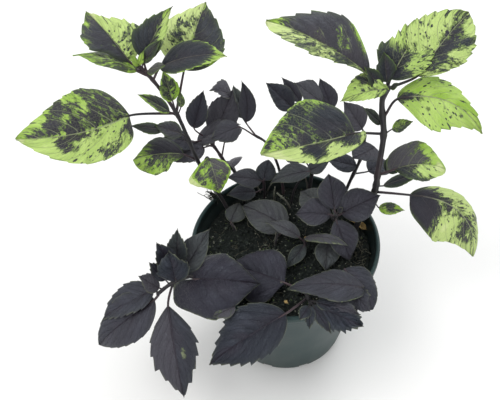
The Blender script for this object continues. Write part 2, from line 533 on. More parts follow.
# A blade: the midrib is the chord from base to tip bowed by arch and sweep; each row runs out from it by
# u times half width, folded up and curled down; the margin is drawn out into forward-pointing teeth,
# the skin swells between the side veins, and a second face lies below the first. Rows (t) run down the arrays
# and columns (u) across them.
def bladeShell(leaf, seed):
    dice = np.random.default_rng(seed)
    base, tip, width = np.array(leaf["base"], float), np.array(leaf["tip"], float), leaf["width"]
    chord = tip - base
    length = np.linalg.norm(chord)
    along = chord / length
    up = unit(np.array(leafForm["facing"], float))
    up = unit(up - up.dot(along) * along)
    roll, fold = math.radians(leaf["roll"]), math.radians(leaf["fold"])
    up = up * math.cos(roll) + np.cross(along, up) * math.sin(roll)
    side = np.cross(along, up)

    teeth = leaf.get("teeth", leafForm["longTeeth" if length > leafForm["longFrom"] else "shortTeeth"])
    t = rowsAlong(teeth)[:, None]
    half = np.array(leafForm["columns" if width > leafForm["fewBelow"] else "fewColumns"])
    u = np.concatenate([-half[:0:-1], half])[None]
    out, left = np.abs(u), u < 0
    arch, sweep, bow = leaf["arch"], leaf["sweep"], 4 * t * (1 - t)
    middle = base + chord * t + up * (arch * bow) + side * (sweep * bow)
    ahead = unit(chord + (up * arch + side * sweep) * (4 * (1 - 2 * t)))
    across = unit(np.cross(ahead, up))
    normal = np.cross(across, ahead)
    rounded = np.maximum(0, np.sin(np.pi * t ** leaf["belly"]))
    least = np.where(t < 0.5, 0.7, 0.25)
    halves = [np.maximum(least, width / 2 * rounded ** (heel * (1 - t) + point * t) * curveThrough(leaf[wide], t))
              for heel, point, wide in zip(pair(leaf["heel"]), pair(leaf["point"]), ("wideLeft", "wideRight"))]
    reach = np.where(left, *halves)
    back = np.where(left, *pair(leaf["lobe"])) * length * out**1.2 * (1 - t) ** 7

    # teeth: the margin rises in a convex arc and drops at a pointed tip, offset half a tooth on the other side
    start, end, peak = leafForm["firstTooth"], leafForm["lastTooth"], leafForm["toothPeak"]
    phase = np.clip((t - start) / (end - start), 0, 1) * teeth
    depth = leaf["toothDepth"] * width * np.sin(np.pi * np.clip(phase / teeth, 0.04, 0.97)) ** 0.5
    inside = (phase > 0.01) & (phase < teeth - 0.01)
    jags = []
    for shift in (0, 0.5):
        f = (phase + shift) % 1
        sizes = dice.uniform(*leafForm["toothSizes"], teeth + 2)[np.floor(phase + shift).astype(int)]
        jags.append(np.where(f < peak, (f / peak) ** leaf["sharp"], (1 - f) / (1 - peak)) * sizes * inside)
    jag = np.where(left, *jags) * depth * np.clip((out - 0.75) / 0.25, 0, 1) ** 1.3

    # relief: swelling between the side veins, a groove at the midrib, a light wave along the margin
    span, rise = out * reach, np.sin(np.pi * t) ** 0.5
    lift = span * math.sin(fold) - leaf["curl"] * u**2 * reach + leaf["puff"] * width * np.sin(np.pi * out) * rise
    wobble = 0.1 * np.sin(5 * t + 3 * u + 6 * dice.random()) + 0.12 * (u > 0)
    veinPhase = leafForm["veins"] * (t - leafForm["lean"] * out**1.25) + wobble + dice.random()
    swell = (0.5 + 0.5 * np.cos(2 * np.pi * veinPhase)) ** 0.7 - 0.4
    lift = lift + leaf["pucker"] * width * swell * np.clip(out * 5, 0, 1) * (1 - out**4) * rise
    lift = lift - leafForm["groove"] * width * np.exp(-((span / (0.04 * width + 0.3)) ** 2)) * (1 - t)
    ripple = np.sin(2 * np.pi * (1.7 * t + 0.5 * (u > 0)) + 6 * dice.random())
    lift = lift + leaf["wave"] * width * out**3 * ripple
    lift = lift - leaf["droop"] * length * np.clip((t - 0.7) / 0.3, 0, 1) ** 2

    top = (middle[:, None] + across[:, None] * (u * reach * math.cos(fold) + np.sign(u) * jag)[..., None]
           + ahead[:, None] * (0.8 * jag - back)[..., None] + normal[:, None] * lift[..., None])
    thick = leafForm["thickness"] * (1 - 0.45 * out**3)
    rib = leafForm["ribHeight"] * np.exp(-((span / leafForm["ribWidth"]) ** 2)) * (1 - 0.8 * t) * min(1, width / 25)
    below = top - normal[:, None] * (thick + rib)[..., None]

    count = span.size
    index = np.arange(count).reshape(span.shape)
    a, b, c, d = index[:-1, :-1], index[:-1, 1:], index[1:, 1:], index[1:, :-1]
    upper = np.stack([a, b, c, d], -1).reshape(-1, 4)
    lower = np.stack([a, d, c, b], -1).reshape(-1, 4) + count
    margins = [np.stack([p[:-1], p[1:], p[1:] + count, p[:-1] + count], -1)
               for p in (index[:, 0], index[::-1, -1], index[0, ::-1], index[-1])]

    away = (1 - out) * reach
    tone = leaf["tone"] + np.where(u > 0, leaf["right"], leaf["left"])
    tone = tone + leaf["tipTone"] * np.clip((t - 0.45) / 0.55, 0, 1) ** 1.5
    tone = tone + leaf["rimTone"] * np.exp(-((away / leaf["rim"]) ** 2))
    for markT, markU, size, strength in leaf["marks"]:
        far = ((t - markT) * length) ** 2 + ((u - markU) * reach) ** 2
        tone = tone + strength * np.exp(-far / size**2)
    own = dice.random()
    own = leaf["hue"] + 0.04 * own if "hue" in leaf else own
    bloom = np.broadcast_to(np.where(left, *pair(leaf["bloom"])), span.shape)
    under = np.stack([bloom, np.ones(span.shape)])  # the upper face, then the lower
    stored = lambda *parts: np.stack([np.broadcast_to(p, (2, *span.shape)).ravel() for p in parts], -1)
    return {"points": np.concatenate([top.reshape(-1, 3), below.reshape(-1, 3)]), "faces": [upper, lower, *margins],
            "leafPlace": stored(u, t, own), "leafSpan": stored(u * reach, veinPhase, length),
            "leafTone": stored(tone, under, away)}, middle, normal


# A leaf's stalk: a tube from the stem to the blade's foot that runs on as the rib under the blade, tapering.
def stalkShell(leaf, middle, normal):
    size = leafForm["stalk"] * min(1.1, 0.45 + leaf["width"] / 60)
    points = [np.array(p, float) - normal[0] * 0.5 for p in (leaf["foot"], *leaf["via"])]
    for row, depth in ((0, 0.75), (10, 1.15), (18, 1.2), (min(34, len(middle) - 6), 1.2)):
        points.append(middle[row] - normal[row] * (size * depth + leafForm["groove"] * leaf["width"] * (row > 0)))
    path = smoothPath(points, 2.0)
    return tubeShell(path, size * (1.12 - 0.75 * np.linspace(0, 1, len(path)) ** 1.2), red=1.0)


stemForm = {"rootHeights": (90, 97, 104, 108), "widest": 1.04, "taper": 0.25, "swelling": 0.28, "sides": 16,
            "square": 0.07}


# A shoot: a stem along its path, thinning by taper s^1.5 from foot to tip and swollen by a share where leaves join
# (a bell curve of the distance along it), then each leaf's blade and stalk.
def shootShells(shoot, seed):
    x, y = shoot["root"]
    path = smoothPath([(x, y, z) for z in stemForm["rootHeights"]] + shoot["stem"])
    radius = shoot["radius"] * (stemForm["widest"] - stemForm["taper"] * np.linspace(0, 1, len(path)) ** 1.5)
    feet = np.array([leaf["foot"] for leaf in shoot["leaves"]], float)
    far = np.linalg.norm(path[:, None] - feet[None], axis=2)
    near = np.exp(-((far - far.min(axis=0)) ** 2 / 2 + far.min(axis=0) ** 2 * 0.02) / 4)
    radius = radius * (1 + stemForm["swelling"] * near.max(axis=1))
    shells = [tubeShell(path, radius, stemForm["sides"], stemForm["square"])]
    for i, leaf in enumerate(shoot["leaves"]):
        full = {**usualLeaf, **shoot.get("every", {}), **leaf}
        blade, middle, normal = bladeShell(full, seed * 100 + i)
        shells += [blade, stalkShell(full, middle, normal)]
    return shells


# The shoots, in millimetres: the stem's root in the soil and its path, its radius, what every leaf of it shares,
# and its leaves from the largest to the buds.
variegatedLeft = {
    "node": "variegated_shoot_left", "root": (-48, 37), "radius": 1.5,
    "stem": [(-57, 36, 136), (-67, 34, 166), (-78, 28, 223), (-90, 24, 256), (-97, 22, 269)],
    "leaves": [
        leafOf((-78, 28, 223), (-109, 20, 228), (-182, -8, 232), 57, roll=-8, arch=5, sweep=-8, fold=6,
            heel=(0.6, 0.5), belly=0.68, point=(1.1, 0.72), lobe=(-0.05, 0), wideLeft=(0.9, 0.84, 0.84, 0.9),
            wideRight=(1.3, 1.15, 1.06, 1.1, 1.1), puff=0.03, teeth=7, toothDepth=0.016, tone=-1.5, right=1.7,
            bloom=(-0.36, -0.1), marks=[(0.05, -0.6, 7, 2.8), (0.48, -0.1, 4.5, 2.6), (0.56, -0.2, 4.5, 2.7),
            (0.64, -0.38, 4, 2.6), (0.33, -0.8, 3, 2.2), (0.55, -0.6, 3.5, 1.4), (0.62, 0.72, 6, 1.4),
            (0.45, 0.2, 6, 1), (0.68, 0.28, 5, 1.4), (0.85, 0.15, 5, 1.7), (0.08, 0.6, 8, 1.2), (0.25, 0.3, 7, 0.7),
            (0.5, 0.95, 6, -2.6), (0.8, 0.85, 8, -2), (0.97, 0, 7, -2.4), (0.35, 0.55, 3.5, -2.6),
            (0.55, 0.42, 3, -2.4), (0.75, -0.55, 6, -1.6)]),
        leafOf((-78, 28, 223), (-70, 36, 255), (-55, 72, 286), 48, arch=3, fold=10, teeth=7, toothDepth=0.02,
            tone=-1.5, right=3.5, bloom=(-0.75, 0.15), marks=[(0.64, -0.5, 5, 1.3), (0.7, -0.15, 4, 1.2),
            (0.5, -0.6, 5, 1.1), (0.4, -0.4, 5, 1.2), (0.25, 0.95, 6, -2.6), (0.45, 1, 4, -2.2),
            (0.95, 0.2, 6, -2.6), (0.6, -1, 7, -1.2)]),
        leafOf((-90, 24, 256), (-83, 22, 269), (-38, 22, 278), 29, roll=-14, arch=4, fold=8,
            wideLeft=(1, 1.1, 1.15, 1.1), toothDepth=0.035, tone=2.4, rimTone=-3.4, rim=0.5,
            marks=[(0.95, 0.3, 6, -2.8), (0.78, 0.95, 5, -3), (0.85, -0.9, 4, -3)]),
        leafOf((-93, 23, 262), (-94, 25, 273), (-74, 46, 300), 27, arch=2, fold=14,
            wideLeft=(1.2, 1.15, 0.85, 0.75, 0.9), wideRight=(0.85, 0.75, 0.58, 0.5, 0.6), tone=2.2,
            bloom=(0, -0.4), marks=[(0.5, 0.85, 6, -3.2), (0.7, 0.7, 6, -3.2), (0.85, 0.7, 5, -2.6)]),
        leafOf((-94, 23, 264), (-103, 25, 270), (-132, 48, 295), 37, arch=3, fold=12,
            wideLeft=(0.4, 0.5, 0.95, 1.3, 1.2), wideRight=(1.1, 1.15, 0.85, 0.5, 0.5), tone=2.2, right=-3.85,
            bloom=(0.3, -0.5), marks=[(0.25, 0.85, 6, 1.4), (0.1, 0.3, 6, 0.8), (0.98, 0, 5, -2.6),
            (0.8, -0.75, 5, -2.6), (0.6, -1, 4, -2.4)]),
        leafOf((-93, 22, 262), (-98, 19, 268), (-139, 22, 279), 27, roll=38, arch=3, toothDepth=0.02, tone=0,
            tipTone=-1.6),
        leafOf((-94, 22, 265), (-91, 19, 268), (-78, 12, 278), 10, tone=1.6, bloom=0.5),
        leafOf((-78, 28, 223), (-79, 27, 235), (-82, 25, 263), 14, fold=14, tone=1, right=-1, rimTone=-2.4, rim=1.2),
        leafOf((-78, 28, 221), (-82, 26, 226), (-102, 26, 242), 14, roll=20, fold=14, tone=1.8, left=-1.4,
            rimTone=-2.8, rim=1.2),
        leafOf((-77, 28, 221), (-74, 27, 229), (-73, 29, 241), 6, tone=0.4),
        leafOf((-68, 33, 171), (-77, 30, 180), (-112, 14, 190), 31, arch=4, fold=6, point=(0.5, 1),
            wideLeft=(0.4, 0.5, 1.05, 1.5, 1.7), wideRight=(0.9, 0.95, 0.9, 0.8), toothDepth=0.01, tone=2.2,
            left=-2.9, marks=[(0.55, -0.05, 4, 1.8), (0.12, -0.4, 6, 2.2), (0.85, 0.4, 8, -3), (0.4, -0.3, 4, 1)]),
        leafOf((-72, 31, 194), (-77, 34, 197), (-96, 34, 206), 15, fold=10, bloom=0.4),
        leafOf((-72, 31, 192), (-90, 33, 202), (-113, 30, 209), 9, roll=-10),
        leafOf((-65, 34, 160), (-58, 27, 179), (-50, 10, 157), 36, via=[(-60, 30, 177)], arch=6, fold=-14, heel=0.6,
            wideLeft=(0.8, 0.75, 0.8, 0.9), wideRight=(0.9, 1.1, 1.15, 1.2), toothDepth=0.012, tone=0.7,
            rimTone=-2.8, rim=3.5, bloom=(0.7, 0.3), marks=[(0.3, 0.35, 3, -2.8), (0.55, 0.3, 3, -2.6),
            (0.4, -0.35, 3, -2.2), (0.6, 0.85, 7, -2.8), (0.35, 0.9, 6, -2), (0.7, -0.3, 4, 1.4),
            (0.45, -0.75, 3, 1.2), (0.5, 0, 5, 1.2), (0.3, 0.65, 3, 1.4)]),
        leafOf((-97, 22, 267), (-97, 22, 270), (-101, 20, 279), 6, tone=-2),
        leafOf((-97, 22, 267), (-97, 22, 270), (-93, 24, 280), 5, tone=-2),
        leafOf((-96, 22, 266), (-94, 22, 272), (-81, 27, 287), 10, fold=16, tone=2),
        leafOf((-95, 22, 265), (-99, 19, 269), (-108, 15, 272), 6, tone=-1.2),
    ]}

variegatedRight = {
    "node": "variegated_shoot_right", "root": (57, 17), "radius": 2.2,
    "stem": [(64, 20, 130), (69, 20, 148), (69, 15, 180), (69, 12, 218), (65, 11, 250), (68, 11, 261)],
    "leaves": [
        leafOf((66, 11, 256), (54, 10, 272), (-12, 22, 306), 49, roll=16, arch=4, fold=21, point=(0.6, 1.2),
            wideLeft=(0.45, 0.42, 0.62, 1.1, 1.4, 1.5), wideRight=(0.94, 1.08, 1.04, 1), pucker=0.028, teeth=7,
            toothDepth=0.042, tone=2.3, left=-3, bloom=(-0.75, 0.38), marks=[(1, 0.1, 12, -5),
            (0.38, 0.62, 2.4, -3.4), (0.36, 0.4, 2, -3), (0.3, 0.48, 2, -3), (0.27, 0.26, 2.3, -3),
            (0.34, 0.2, 2.2, -2.8), (0.55, 0.2, 2.6, -2.8), (0.22, 0.95, 4.5, -4), (0.13, 0.9, 4, -3.4),
            (0.3, 1, 3, -3), (0.25, -0.5, 8, 2.4)]),
        leafOf((67, 11, 257), (69, 14, 265), (94, 44, 293), 36, arch=4, fold=12,
            wideLeft=(1.05, 0.98, 0.62, 0.75, 0.95), wideRight=(0.9, 1, 1.05, 0.9), teeth=7, toothDepth=0.06,
            tone=-0.95, bloom=-0.3, marks=[(0.05, -0.3, 9, 3), (0.2, -0.65, 9, 3.2), (0.1, 0.4, 6, 1.8),
            (0.33, 0.12, 4, 1.8), (0.45, 0.1, 4, 1.4), (0.7, -0.5, 9, -0.5)]),
        leafOf((67, 11, 259), (86, 12, 269), (118, 36, 302), 46, arch=4, fold=8, belly=0.82, point=0.8,
            wideRight=(0.6, 0.7, 0.88, 1.02, 1.1), teeth=8, toothDepth=0.035, tone=-0.9, bloom=-0.5,
            marks=[(0.15, 0.12, 4, 2.2), (0.3, 0.15, 5, 2.2), (0.45, 0.2, 5, 2.4), (0.58, 0.25, 5.5, 2.6),
            (0.7, 0.15, 4.5, 2.4), (0.8, 0.08, 4, 1.8), (0.68, 0.62, 3.5, 2), (0.5, -0.5, 12, -0.7)]),
        leafOf((68, 11, 236), (74, 8, 253), (131, -11, 239), 43, arch=9, sweep=-7, fold=4, heel=(0.6, 1),
            wideLeft=(0.66, 0.72, 0.66, 0.56, 0.6), wideRight=(0.8, 1.02, 1.16, 1.08, 0.75), teeth=7,
            toothDepth=0.04, tone=-2.65, bloom=(-0.05, -0.2), marks=[(0.05, 0, 5, 4), (0.14, 0.05, 3.5, 3.6),
            (0.24, 0.12, 3, 2.6), (0.7, 0.4, 2.6, 4), (0.6, 0.55, 1.8, 3.4), (0.32, 0.5, 2.4, 2.8),
            (0.4, -0.85, 1.6, 3.6), (0.5, 0.3, 2, 2.6)]),
        leafOf((66, 11, 254), (66, 5, 264), (35, -5, 262), 24, arch=3, fold=6, wideLeft=(0.5, 0.5, 0.55, 0.7),
            wideRight=(1.2, 1.2, 1.15, 1), tone=-0.9, bloom=-0.3, marks=[(0.4, 0.6, 2.5, 3), (0.9, 0.2, 5, -1),
            (0.5, -0.5, 6, -1.2)]),
        leafOf((67, 11, 258), (63, 8, 261), (51, 10, 278), 13, fold=14, tone=2.4),
        leafOf((67, 11, 259), (67, 13, 263), (64, 22, 281), 14, fold=14, tone=2.4),
        leafOf((67, 11, 259), (68, 9, 261), (64, 6, 267), 4, tone=-3),
        leafOf((67, 11, 259), (69, 9, 261), (74, 7, 267), 5),
        leafOf((68, 12, 216), (66, 12, 227), (53, 12, 242), 9, fold=14, tone=2.2),
        leafOf((69, 12, 217), (74, 10, 224), (87, 8, 233), 10, fold=10, tone=0.1),
        leafOf((69, 12, 218), (47, 8, 222), (-18, 0, 210), 57, roll=4, arch=4, sweep=-4, fold=12, heel=(0.6, 0.32),
            belly=0.76, point=(1.2, 0.8), lobe=(0.13, 0.03), wideLeft=(0.8, 0.62, 0.56, 0.6),
            wideRight=(1.2, 1.2, 1.24, 1.28), toothDepth=0.014, tone=0.7, left=-1.5, rimTone=-1.8, rim=3,
            bloom=(-0.62, -0.12), marks=[(0.2, 0.35, 12, 1.6), (0.38, 0.3, 8, 0.8), (0.55, 0.55, 6, 0.9),
            (0.66, 0.6, 5, 1), (0.45, -0.3, 6, 3), (0.4, -0.6, 5, 2.6), (0.1, -0.3, 7, 2.4), (0.85, 0.3, 10, -1.4),
            (0.25, -0.6, 6, -2), (0.12, 0.7, 9, 1.6), (0.75, -0.4, 12, -1.6), (0.5, 0.1, 5, 1.2),
            (0.62, 0.35, 5, -1.2), (0.9, 0.5, 3, 2.4)]),
        leafOf((69, 16, 172), (80, 12, 182), (118, 9, 185), 37, arch=8, fold=8, heel=(0.4, 0.9), point=0.65,
            lobe=(0.16, 0), wideLeft=(1.1, 1.05, 0.93, 0.95), wideRight=(0.4, 0.7, 0.85, 0.95), wave=0.04,
            toothDepth=0.012, tone=1.9, bloom=(0.75, -0.45), marks=[(0.75, -0.5, 10, -3.6), (0.85, 0.4, 9, -3.8),
            (0.5, 0.45, 6, -3.6), (0.55, -0.9, 5, -2), (0.7, 0, 4, 1)]),
        leafOf((69, 19, 150), (95, 11, 155), (149, -12, 107), 44, arch=12, sweep=-13, fold=-14, heel=(0.9, 0.36),
            point=(0.75, 0.85), wideLeft=(0.6, 0.6, 0.68, 0.88, 1.1), wideRight=(1.15, 1.3, 1.35, 1.3, 1.2),
            toothDepth=0.014, tone=-0.95, bloom=-0.6, marks=[(0.06, 0.4, 8, 3.2), (0.16, 0.8, 9, 3.6),
            (0.2, 0.3, 8, 3.2), (0.1, 0.1, 8, 2.6), (0.45, 0.6, 9, -2.6), (0.62, 0.28, 4, 2.4),
            (0.7, 0.5, 2.6, 2.4), (0.8, 0.45, 2.2, 2.4), (0.35, 0.03, 4, 2.2), (0.5, 0.02, 4, 2.2),
            (0.62, 0, 4, 1.8), (0.75, 0, 4, 1.4), (0.3, -0.8, 7, -2), (0.55, -0.8, 7, -1.6)]),
        leafOf((68, 20, 142), (73, 13, 138), (92, 7, 142), 11, fold=8, tone=-1.4, marks=[(0.45, -0.2, 3.5, 3.4)]),
        leafOf((69, 18, 158), (75, 18, 158), (106, 20, 173), 12, roll=-20),
        leafOf((69, 16, 170), (75, 18, 174), (88, 24, 182), 14, fold=10),
    ]}

darkBackLeft = {
    "node": "dark_shoot_back_left", "root": (-35, 50), "radius": 1.4,
    "every": dict(toothDepth=0.03, bloom=0.8, hue=0.85),
    "stem": [(-41, 62, 124), (-50, 60, 142), (-56, 60, 156), (-62, 60, 168)],
    "leaves": [
        leafOf((-62, 60, 167), (-72, 60, 179), (-64, 78, 202), 18, fold=16, bloom=0.1),
        leafOf((-61, 60, 165), (-43, 84, 191), (-60, 83, 198), 19, roll=14, arch=3, fold=12,
            wideLeft=(1, 0.8, 0.5, 0.3), wideRight=(1, 1.2, 1.2, 1), toothDepth=0.06),
        leafOf((-59, 60, 161), (-64, 50, 168), (-96, 33, 172), 22, roll=6, fold=6, bloom=0.7),
        leafOf((-62, 60, 167), (-73, 51, 173), (-93, 41, 187), 21, roll=8, fold=8, bloom=0.1),
        leafOf((-58, 60, 160), (-56, 62, 170), (-41, 84, 199), 27, fold=8, wave=0.05, bloom=0.75),
        leafOf((-52, 59, 148), (-50, 70, 154), (-44, 97, 150), 22, arch=6, fold=6),
        leafOf((-58, 60, 159), (-70, 58, 166), (-35, 60, 184), 21, roll=-10, arch=3, fold=8, toothDepth=0.04,
            bloom=0.65),
        leafOf((-41, 62, 125), (-44, 72, 124), (-50, 93, 104), 22, arch=5, fold=6),
    ]}

darkBackMiddle = {
    "node": "dark_shoot_back_middle", "root": (-2, 60), "radius": 1.2, "every": dict(bloom=0.35),
    "stem": [(-7, 62, 138), (-16, 60, 164), (-24, 62, 169)],
    "leaves": [
        leafOf((-24, 62, 169), (-31, 64, 182), (-34, 80, 210), 14, sweep=2.5, fold=14, toothDepth=0.02),
        leafOf((-24, 62, 169), (-36, 57, 183), (-58, 45, 181), 18, roll=-20, arch=3, bloom=0.7),
        leafOf((-23, 62, 168), (-34, 72, 179), (-42, 97, 192), 15, fold=10, bloom=0.1),
    ]}

darkBackRight = {
    "node": "dark_shoot_back_right", "root": (20, 57), "radius": 1.5, "every": dict(toothDepth=0.015, bloom=0.3),
    "stem": [(23, 64, 138), (24, 67, 165), (25, 72, 178)],
    "leaves": [
        leafOf((24, 70, 173), (6, 79, 183), (-15, 84, 205), 21, fold=12, tipTone=-1, bloom=0.2),
        leafOf((24, 71, 175), (12, 86, 184), (-3, 97, 200), 12, fold=12),
        leafOf((25, 71, 177), (29, 75, 192), (7, 77, 211), 22, roll=10, fold=10, wideRight=(1, 1.2, 1.2), bloom=0.6),
        leafOf((25, 71, 177), (37, 78, 183), (27, 92, 203), 17, fold=10),
        leafOf((23, 65, 148), (28, 78, 152), (34, 102, 146), 24, arch=5, fold=6),
        leafOf((22, 62, 128), (17, 76, 126), (8, 98, 107), 24, arch=5, fold=6),
    ]}

darkFarRight = {
    "node": "dark_shoot_far_right", "root": (45, 41), "radius": 1.4, "every": dict(toothDepth=0.012, bloom=0.25),
    "stem": [(52, 48, 128), (61, 52, 158), (62, 55, 176)],
    "leaves": [
        leafOf((62, 55, 175), (60, 57, 181), (45, 66, 201), 22, fold=10, bloom=0.75),
        leafOf((62, 53, 168), (70, 49, 169), (51, 30, 175), 27, roll=10, fold=8, bloom=0.35),
        leafOf((60, 52, 154), (57, 50, 147), (32, 50, 155), 17, fold=8),
        leafOf((55, 50, 138), (68, 55, 136), (88, 72, 128), 22, arch=4, fold=6),
    ]}

lowBack = {
    "node": "low_shoot_back", "root": (-18, 55), "radius": 1.1, "every": dict(toothDepth=0.006, bloom=0.2, hue=0.2),
    "stem": [(-18, 55, 116), (-18, 54, 126)],
    "leaves": [
        leafOf((-18, 54, 124), (-18, 51, 129), (-14, 63, 141), 17, fold=-4, heel=0.55, point=0.7, puff=0.06,
            rimTone=-3.4, rim=0.6),
        leafOf((-18, 54, 122), (-20, 52, 128), (-48, 48, 136), 18, arch=2, fold=6, bloom=0.5),
        leafOf((-18, 54, 116), (-25, 49, 117), (-49, 44, 119), 16, arch=2, fold=6),
    ]}

lowBackRight = {
    "node": "low_shoot_back_right", "root": (5, 48), "radius": 1,
    "every": dict(toothDepth=0.006, bloom=0.25, hue=0.1),
    "stem": [(8, 49, 122), (14, 47, 138)],
    "leaves": [
        leafOf((14, 47, 136), (20, 46, 145), (-13, 40, 137), 20, roll=6, arch=4, fold=6, wideLeft=(0.8, 0.8, 0.75),
            rimTone=-3.2, rim=0.5),
        leafOf((14, 47, 137), (18, 48, 143), (36, 55, 149), 13, fold=6),
    ]}

darkCentre = {
    "node": "dark_shoot_centre", "root": (39, 4), "radius": 1.6,
    "every": dict(toothDepth=0.007, puff=0.03, belly=0.8, bloom=0.28, hue=0.85, pucker=0.02),
    "stem": [(39, 4, 124), (39, 5, 139)],
    "leaves": [
        leafOf((39, 5, 137), (38, 8, 141), (34, 37, 152), 24, arch=3, fold=8),
        leafOf((39, 5, 137), (43, 5, 140), (73, 13, 153), 27, roll=8, arch=3, fold=8),
        leafOf((39, 5, 136), (35, 5, 139), (7, 8, 136), 26, arch=3, fold=8, wideLeft=(0.82, 0.95)),
        leafOf((39, 4, 135), (39, 1, 137), (50, -21, 113), 25, arch=2, fold=6, wideRight=(0.72, 1), rimTone=-3,
            rim=0.5),
        leafOf((39, 5, 130), (31, 17, 131), (12, 42, 126), 24, arch=3, fold=6, rimTone=-3.4, rim=0.7, hue=0.02),
        leafOf((39, 4, 116), (34, -1, 116), (31, -26, 107), 20, arch=2, fold=4, bloom=0.2, hue=0.1),
        leafOf((39, 5, 137), (38, 4, 141), (36, 2, 147), 5),
        leafOf((39, 5, 137), (40, 6, 141), (44, 6, 146), 5),
    ]}

lowMiddle = {
    "node": "low_shoot_middle", "root": (16, -2), "radius": 1.1, "every": dict(toothDepth=0.006),
    "stem": [(15, -3, 118)],
    "leaves": [
        leafOf((15, -3, 116), (11, -3, 121), (-16, 11, 123), 16, roll=24, arch=3, fold=10, rimTone=-3.1, rim=0.8,
            bloom=0.5, hue=0.1),
        leafOf((15, -3, 116), (15, -6, 124), (47, -21, 134), 13, roll=-24, arch=4, point=0.7, wideLeft=(0.7, 0.85),
            tone=1.3, rimTone=-2.2, rim=1.2, bloom=0.8, hue=0.15),
        leafOf((15, -3, 114), (15, -6, 115), (0, -23, 107), 12, fold=8, hue=0.1),
    ]}

lowLeft = {
    "node": "low_shoot_left", "root": (-8, 3), "radius": 0.9,
    "stem": [(-6, 8, 112)],
    "leaves": [
        leafOf((-6, 7, 111), (1, 14, 113), (-36, 36, 115), 30, arch=4, fold=6, point=0.9, puff=0.04, pucker=0.022,
            toothDepth=0.006, rimTone=-3.3, rim=1, bloom=0.5, hue=0),
    ]}

seedlingLeft = {
    "node": "seedling_left", "root": (-42, 17), "radius": 0.9,
    "stem": [(-44, 20, 111)],
    "leaves": [
        leafOf((-43, 18, 109), (-45, 23, 109), (-38, 42, 112), 19, arch=2, fold=6, wideLeft=(0.8, 0.75),
            toothDepth=0.006, tone=2.4, rimTone=-3, rim=0.8, bloom=0.4, hue=0),
    ]}

darkFrontLeft = {
    "node": "dark_shoot_front_left", "root": (-50, -35), "radius": 1.5,
    "every": dict(sharp=1.35, toothDepth=0.05, pucker=0.026),
    "stem": [(-54, -39, 118), (-66, -43, 124), (-78, -45, 124), (-88, -50, 121), (-95, -56, 119)],
    "leaves": [
        leafOf((-66, -43, 124), (-69, -46, 125), (-18, -52, 127), 54, roll=8, arch=6, fold=-8, heel=(0.42, 0.2),
            belly=0.74, lobe=(0.1, 0.38), wideLeft=(0.88, 0.78, 0.68, 0.76), wideRight=(1.05, 1.1, 0.92, 0.92),
            puff=0.06, pucker=0.02, toothDepth=0.008, rimTone=-3.55, rim=0.8, hue=0.9),
        leafOf((-80, -46, 124), (-81, -38, 131), (-78, -30, 163), 16, fold=12),
        leafOf((-79, -46, 124), (-84, -41, 132), (-93, -36, 155), 16, fold=12),
        leafOf((-76, -45, 124), (-76, -41, 128), (-56, -20, 152), 24, roll=10, fold=10, wideRight=(0.9, 0.75, 0.7),
            toothDepth=0.015, bloom=0.2),
        leafOf((-82, -47, 123), (-81, -49, 126), (-84, -43, 154), 23, fold=10, pucker=0.03, wave=0.07),
        leafOf((-86, -49, 122), (-89, -47, 125), (-99, -44, 142), 11, toothDepth=0.09),
        leafOf((-90, -52, 120), (-93, -53, 123), (-105, -56, 142), 14, bloom=0.9),
        leafOf((-93, -55, 119), (-98, -53, 120), (-139, -64, 97), 29, roll=10, arch=4, fold=8,
            wideLeft=(0.9, 0.7, 0.6), bloom=0.3, hue=0.5),
        leafOf((-94, -56, 119), (-97, -59, 117), (-143, -75, 79), 36, roll=-6, arch=5, fold=6, point=0.8,
            toothDepth=0.02, bloom=(0.4, 0.25), hue=0.7, marks=[(0.45, -0.28, 0.8, -6.5)]),
        leafOf((-84, -49, 122), (-87, -62, 114), (-76, -110, 61), 34, via=[(-86, -57, 119)], arch=6, fold=8,
            heel=1.25, belly=0.78, wideLeft=(0.9, 0.95, 0.95, 0.95), pucker=0.025, teeth=6, toothDepth=0.07,
            bloom=(0.3, 0.85), hue=0.4, marks=[(0.46, -0.36, 1.7, -6.5), (0.5, -0.38, 1.6, -6.5),
            (0.54, -0.4, 1.5, -6)]),
        leafOf((-55, -40, 119), (-37, -67, 120), (-53, -75, 118), 11, tone=0.6, bloom=0.9),
    ]}

darkFront = {
    "node": "dark_shoot_front", "root": (13, -44), "radius": 1.4, "every": dict(pucker=0.024),
    "stem": [(15, -53, 116), (17, -61, 120)],
    "leaves": [
        leafOf((14, -50, 114), (0, -44, 117), (-46, -20, 108), 47, arch=4, fold=-6, heel=0.45, lobe=-0.07,
            wideLeft=(1, 0.98, 0.9, 0.9), puff=0.06, pucker=0.022, toothDepth=0.008, rimTone=-3.5, rim=0.8, hue=1),
        leafOf((16, -58, 118), (0, -74, 121), (-57, -96, 86), 42, via=[(8, -68, 122)], arch=5, fold=8, heel=0.8,
            wideLeft=(1, 0.9, 0.88), teeth=8, toothDepth=0.05, sharp=1.4, hue=0.6),
        leafOf((17, -61, 119), (25, -69, 121), (57, -80, 113), 22, roll=8, arch=3, fold=-8, pucker=0.06, wave=0.1,
            toothDepth=0.1, sharp=1.4, hue=0.4),
        leafOf((17, -61, 119), (27, -64, 121), (55, -73, 118), 13, roll=14, arch=4, fold=-16, pucker=0.06,
            wave=0.16, toothDepth=0.1, bloom=0.6, hue=0.3),
        leafOf((17, -61, 119), (20, -68, 123), (33, -86, 113), 9, toothDepth=0.08),
        leafOf((17, -61, 119), (17, -69, 123), (10, -79, 120), 9, toothDepth=0.08),
        leafOf((17, -61, 119), (18, -69, 123), (17, -84, 116), 8, toothDepth=0.08),
        leafOf((17, -61, 119), (22, -66, 124), (47, -71, 121), 10, roll=10, toothDepth=0.08),
    ]}

